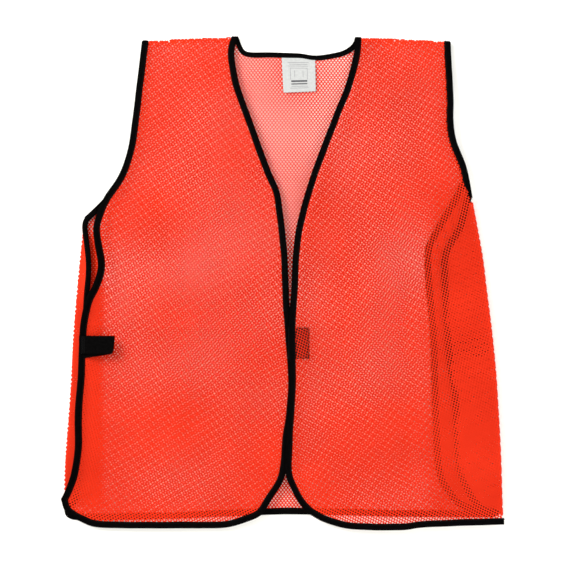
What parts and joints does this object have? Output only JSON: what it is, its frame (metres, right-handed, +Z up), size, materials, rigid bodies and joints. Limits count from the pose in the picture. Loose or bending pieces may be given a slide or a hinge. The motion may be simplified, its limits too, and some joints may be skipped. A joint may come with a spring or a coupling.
{
  "type": "high visibility mesh vest",
  "caption": "Sleeveless orange mesh safety vest laid flat, with black binding, V neck, hook-and-loop front closure, elastic side straps and a neck label.",
  "frame": {"origin": "under the middle of the laid vest, on the surface that it lies on", "axes": "+Z up, out of the front; +Y from the hem to the shoulders; +X from the wearer's right to the wearer's left"},
  "size_m": [0.6146, 0.6861, 0.0142],
  "materials": {
    "mesh_cloth": "knitted polyester mesh with staggered openings",
    "binding_tape": "matt woven polyester tape",
    "side_elastic": "matt knitted elastic",
    "hook_and_loop": "matt hook and loop tape",
    "label_cloth": "smooth printed label cloth"
  },
  "bodies": {
    "vest_body": {"back_panel": "mesh_cloth", "back_neck_binding": "binding_tape", "back_hem_binding": "binding_tape", "right_back_armhole_binding": "binding_tape", "left_back_armhole_binding": "binding_tape", "right_back_tuck": "mesh_cloth", "right_back_side_binding": "binding_tape", "left_back_tuck": "mesh_cloth", "left_back_side_binding": "binding_tape", "left_front_tuck": "mesh_cloth", "left_front_side_binding": "binding_tape", "right_shoulder_fold": "mesh_cloth", "left_shoulder_fold": "mesh_cloth", "right_front_side": "mesh_cloth", "left_front_side": "mesh_cloth", "right_front_armhole_binding": "binding_tape", "left_front_armhole_binding": "binding_tape", "right_front_side_binding": "binding_tape", "right_front_hem_binding": "binding_tape", "left_front_hem_binding": "binding_tape", "left_side_strap": "side_elastic"},
    "right_front": {"right_front_flap": "mesh_cloth", "right_front_edge_binding": "binding_tape", "hook_tab": "hook_and_loop"},
    "left_front": {"left_front_flap": "mesh_cloth", "left_front_edge_binding": "binding_tape", "loop_patch": "hook_and_loop"},
    "side_loop": {"right_side_strap": "side_elastic"},
    "label": {"care_label": "label_cloth"}
  },
  "joints": [
    {"name": "left_front_opens", "type": "hinge", "parent": "vest_body", "child": "left_front", "pos_m": [0.114, 0.342, 0.0133], "axis": [-0.1106, 0.9939, 0], "range_deg": [0, 165]},
    {"name": "right_front_opens", "type": "hinge", "parent": "vest_body", "child": "right_front", "pos_m": [-0.08, 0.343, 0.0101], "axis": [-0.0292, -0.9996, 0], "range_deg": [0, 148.5]},
    {"name": "strap_loop_swings", "type": "hinge", "parent": "vest_body", "child": "side_loop", "pos_m": [-0.284, -0.086, 0.0102], "axis": [0, -1, 0], "range_deg": [0, 150]},
    {"name": "label_lifts", "type": "hinge", "parent": "vest_body", "child": "label", "pos_m": [0.0215, 0.3125, 0.0024], "axis": [-1, 0, 0], "range_deg": [0, 170]}
  ],
  "couplings": [
    {"joint": "right_front_opens", "follows": "left_front_opens", "ratio": 0.9}
  ]
}
